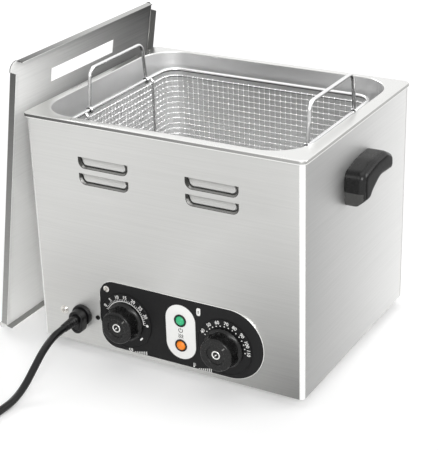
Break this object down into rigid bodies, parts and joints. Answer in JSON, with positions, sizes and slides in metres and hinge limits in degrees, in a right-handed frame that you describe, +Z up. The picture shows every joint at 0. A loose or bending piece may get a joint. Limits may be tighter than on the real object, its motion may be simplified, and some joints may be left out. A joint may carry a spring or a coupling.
{
  "type": "commercial egg boiler",
  "caption": "Countertop stainless tank boiler with a lift-out wire basket, a leaning lid with a hand slot, side handles, a timer knob, a thermostat knob and a mains cord.",
  "frame": {"origin": "middle of the floor rectangle under the boiler and its leaning lid, cord left out", "axes": "+X to the boiler's right, away from the leaning lid; +Y to its back; +Z up. The control panel faces -Y"},
  "size_m": [0.4678, 0.5697, 0.3634],
  "materials": {
    "sheet_steel": "brushed stainless sheet",
    "tank_steel": "satin drawn stainless",
    "screw_steel": "bright nickel plate",
    "element_steel": "heat-tinted stainless tube",
    "brass_fittings": "machined brass",
    "copper_bulb": "drawn copper",
    "black_phenolic": "moulded phenolic",
    "white_ceramic": "glazed ceramic",
    "wire_insulation": "silicone insulation",
    "panel_black": "satin black",
    "label_white": "printed film",
    "lens_green": "translucent lens",
    "lens_orange": "translucent lens",
    "knob_black": "semi-gloss moulded",
    "bright_trim": "bright plated",
    "handle_black": "satin moulded",
    "foot_rubber": "moulded rubber",
    "basket_wire": "electropolished wire",
    "basket_mesh": "welded stainless wire mesh",
    "gland_black": "moulded nylon",
    "cord_rubber": "rubber sheath",
    "cord_coil": "rubber sheath",
    "brass_pins": "polished brass"
  },
  "bodies": {
    "boiler": {"casing_wrap": "sheet_steel", "base_plate": "sheet_steel", "back_panel": "sheet_steel", "tank": "tank_steel", "element_guard": "tank_steel", "tank_clips": "tank_steel", "back_panel_screws": "screw_steel", "foot_screws": "screw_steel", "front_screws": "screw_steel", "handle_screws": "screw_steel", "earth_terminal": "screw_steel", "heating_element": "element_steel", "tank_glands": "brass_fittings", "thermostat_bulb": "copper_bulb", "thermostat_capillary": "copper_bulb", "bulb_clips": "tank_steel", "thermostat_body": "black_phenolic", "timer_body": "black_phenolic", "terminal_block": "white_ceramic", "thermal_cutout": "black_phenolic", "internal_wiring": "wire_insulation", "lamp_housings": "black_phenolic", "control_panel": "panel_black", "timer_dial": "panel_black", "thermostat_dial": "panel_black", "lamp_label": "label_white", "lamp_bezels": "black_phenolic", "power_lamp_lens": "lens_green", "heating_lamp_lens": "lens_orange", "right_handle": "handle_black", "left_handle": "handle_black", "rubber_feet": "foot_rubber", "cable_gland": "gland_black", "cord_clamp": "gland_black", "gland_locknut": "gland_black", "cord_strain_relief": "cord_rubber", "power_cord": "cord_rubber", "power_cord_coil": "cord_coil", "power_cord_tail": "cord_rubber", "plug_body": "cord_rubber", "plug_pins": "brass_pins"},
    "lid": {"lid": "sheet_steel"},
    "basket": {"basket_rim_wire": "basket_wire", "basket_band_wire": "basket_wire", "basket_bottom_wire": "basket_wire", "basket_ribs": "basket_wire", "basket_mesh_front": "basket_mesh", "basket_mesh_back": "basket_mesh", "basket_mesh_left": "basket_mesh", "basket_mesh_right": "basket_mesh", "basket_mesh_corners": "basket_mesh", "basket_mesh_floor": "basket_mesh"},
    "bail_left": {"basket_bail_left": "basket_wire"},
    "bail_right": {"basket_bail_right": "basket_wire"},
    "timer_control": {"timer_knob": "knob_black", "timer_knob_cap": "bright_trim", "timer_shaft": "bright_trim"},
    "thermostat_control": {"thermostat_knob": "knob_black", "thermostat_knob_cap": "bright_trim", "thermostat_shaft": "bright_trim"}
  },
  "joints": [
    {"name": "lid_lift", "type": "slide", "parent": "boiler", "child": "lid", "axis": [0, 0, 1], "range_m": [0, 0.12]},
    {"name": "basket_lift", "type": "slide", "parent": "boiler", "child": "basket", "axis": [0, 0, 1], "range_m": [0, 0.2]},
    {"name": "bail_left_fold", "type": "hinge", "parent": "basket", "child": "bail_left", "pos_m": [-0.1291, 0.01215, 0.2834], "axis": [0, 1, 0], "range_deg": [-15, 90]},
    {"name": "bail_right_fold", "type": "hinge", "parent": "basket", "child": "bail_right", "pos_m": [0.1629, 0.01215, 0.2834], "axis": [0, 1, 0], "range_deg": [-90, 15]},
    {"name": "timer_turn", "type": "hinge", "parent": "boiler", "child": "timer_control", "pos_m": [-0.0351, -0.15185, 0.0584], "axis": [0, 1, 0], "range_deg": [-106, 50]},
    {"name": "thermostat_turn", "type": "hinge", "parent": "boiler", "child": "thermostat_control", "pos_m": [0.0999, -0.15185, 0.0564], "axis": [0, 1, 0], "range_deg": [-107, 44]}
  ]
}
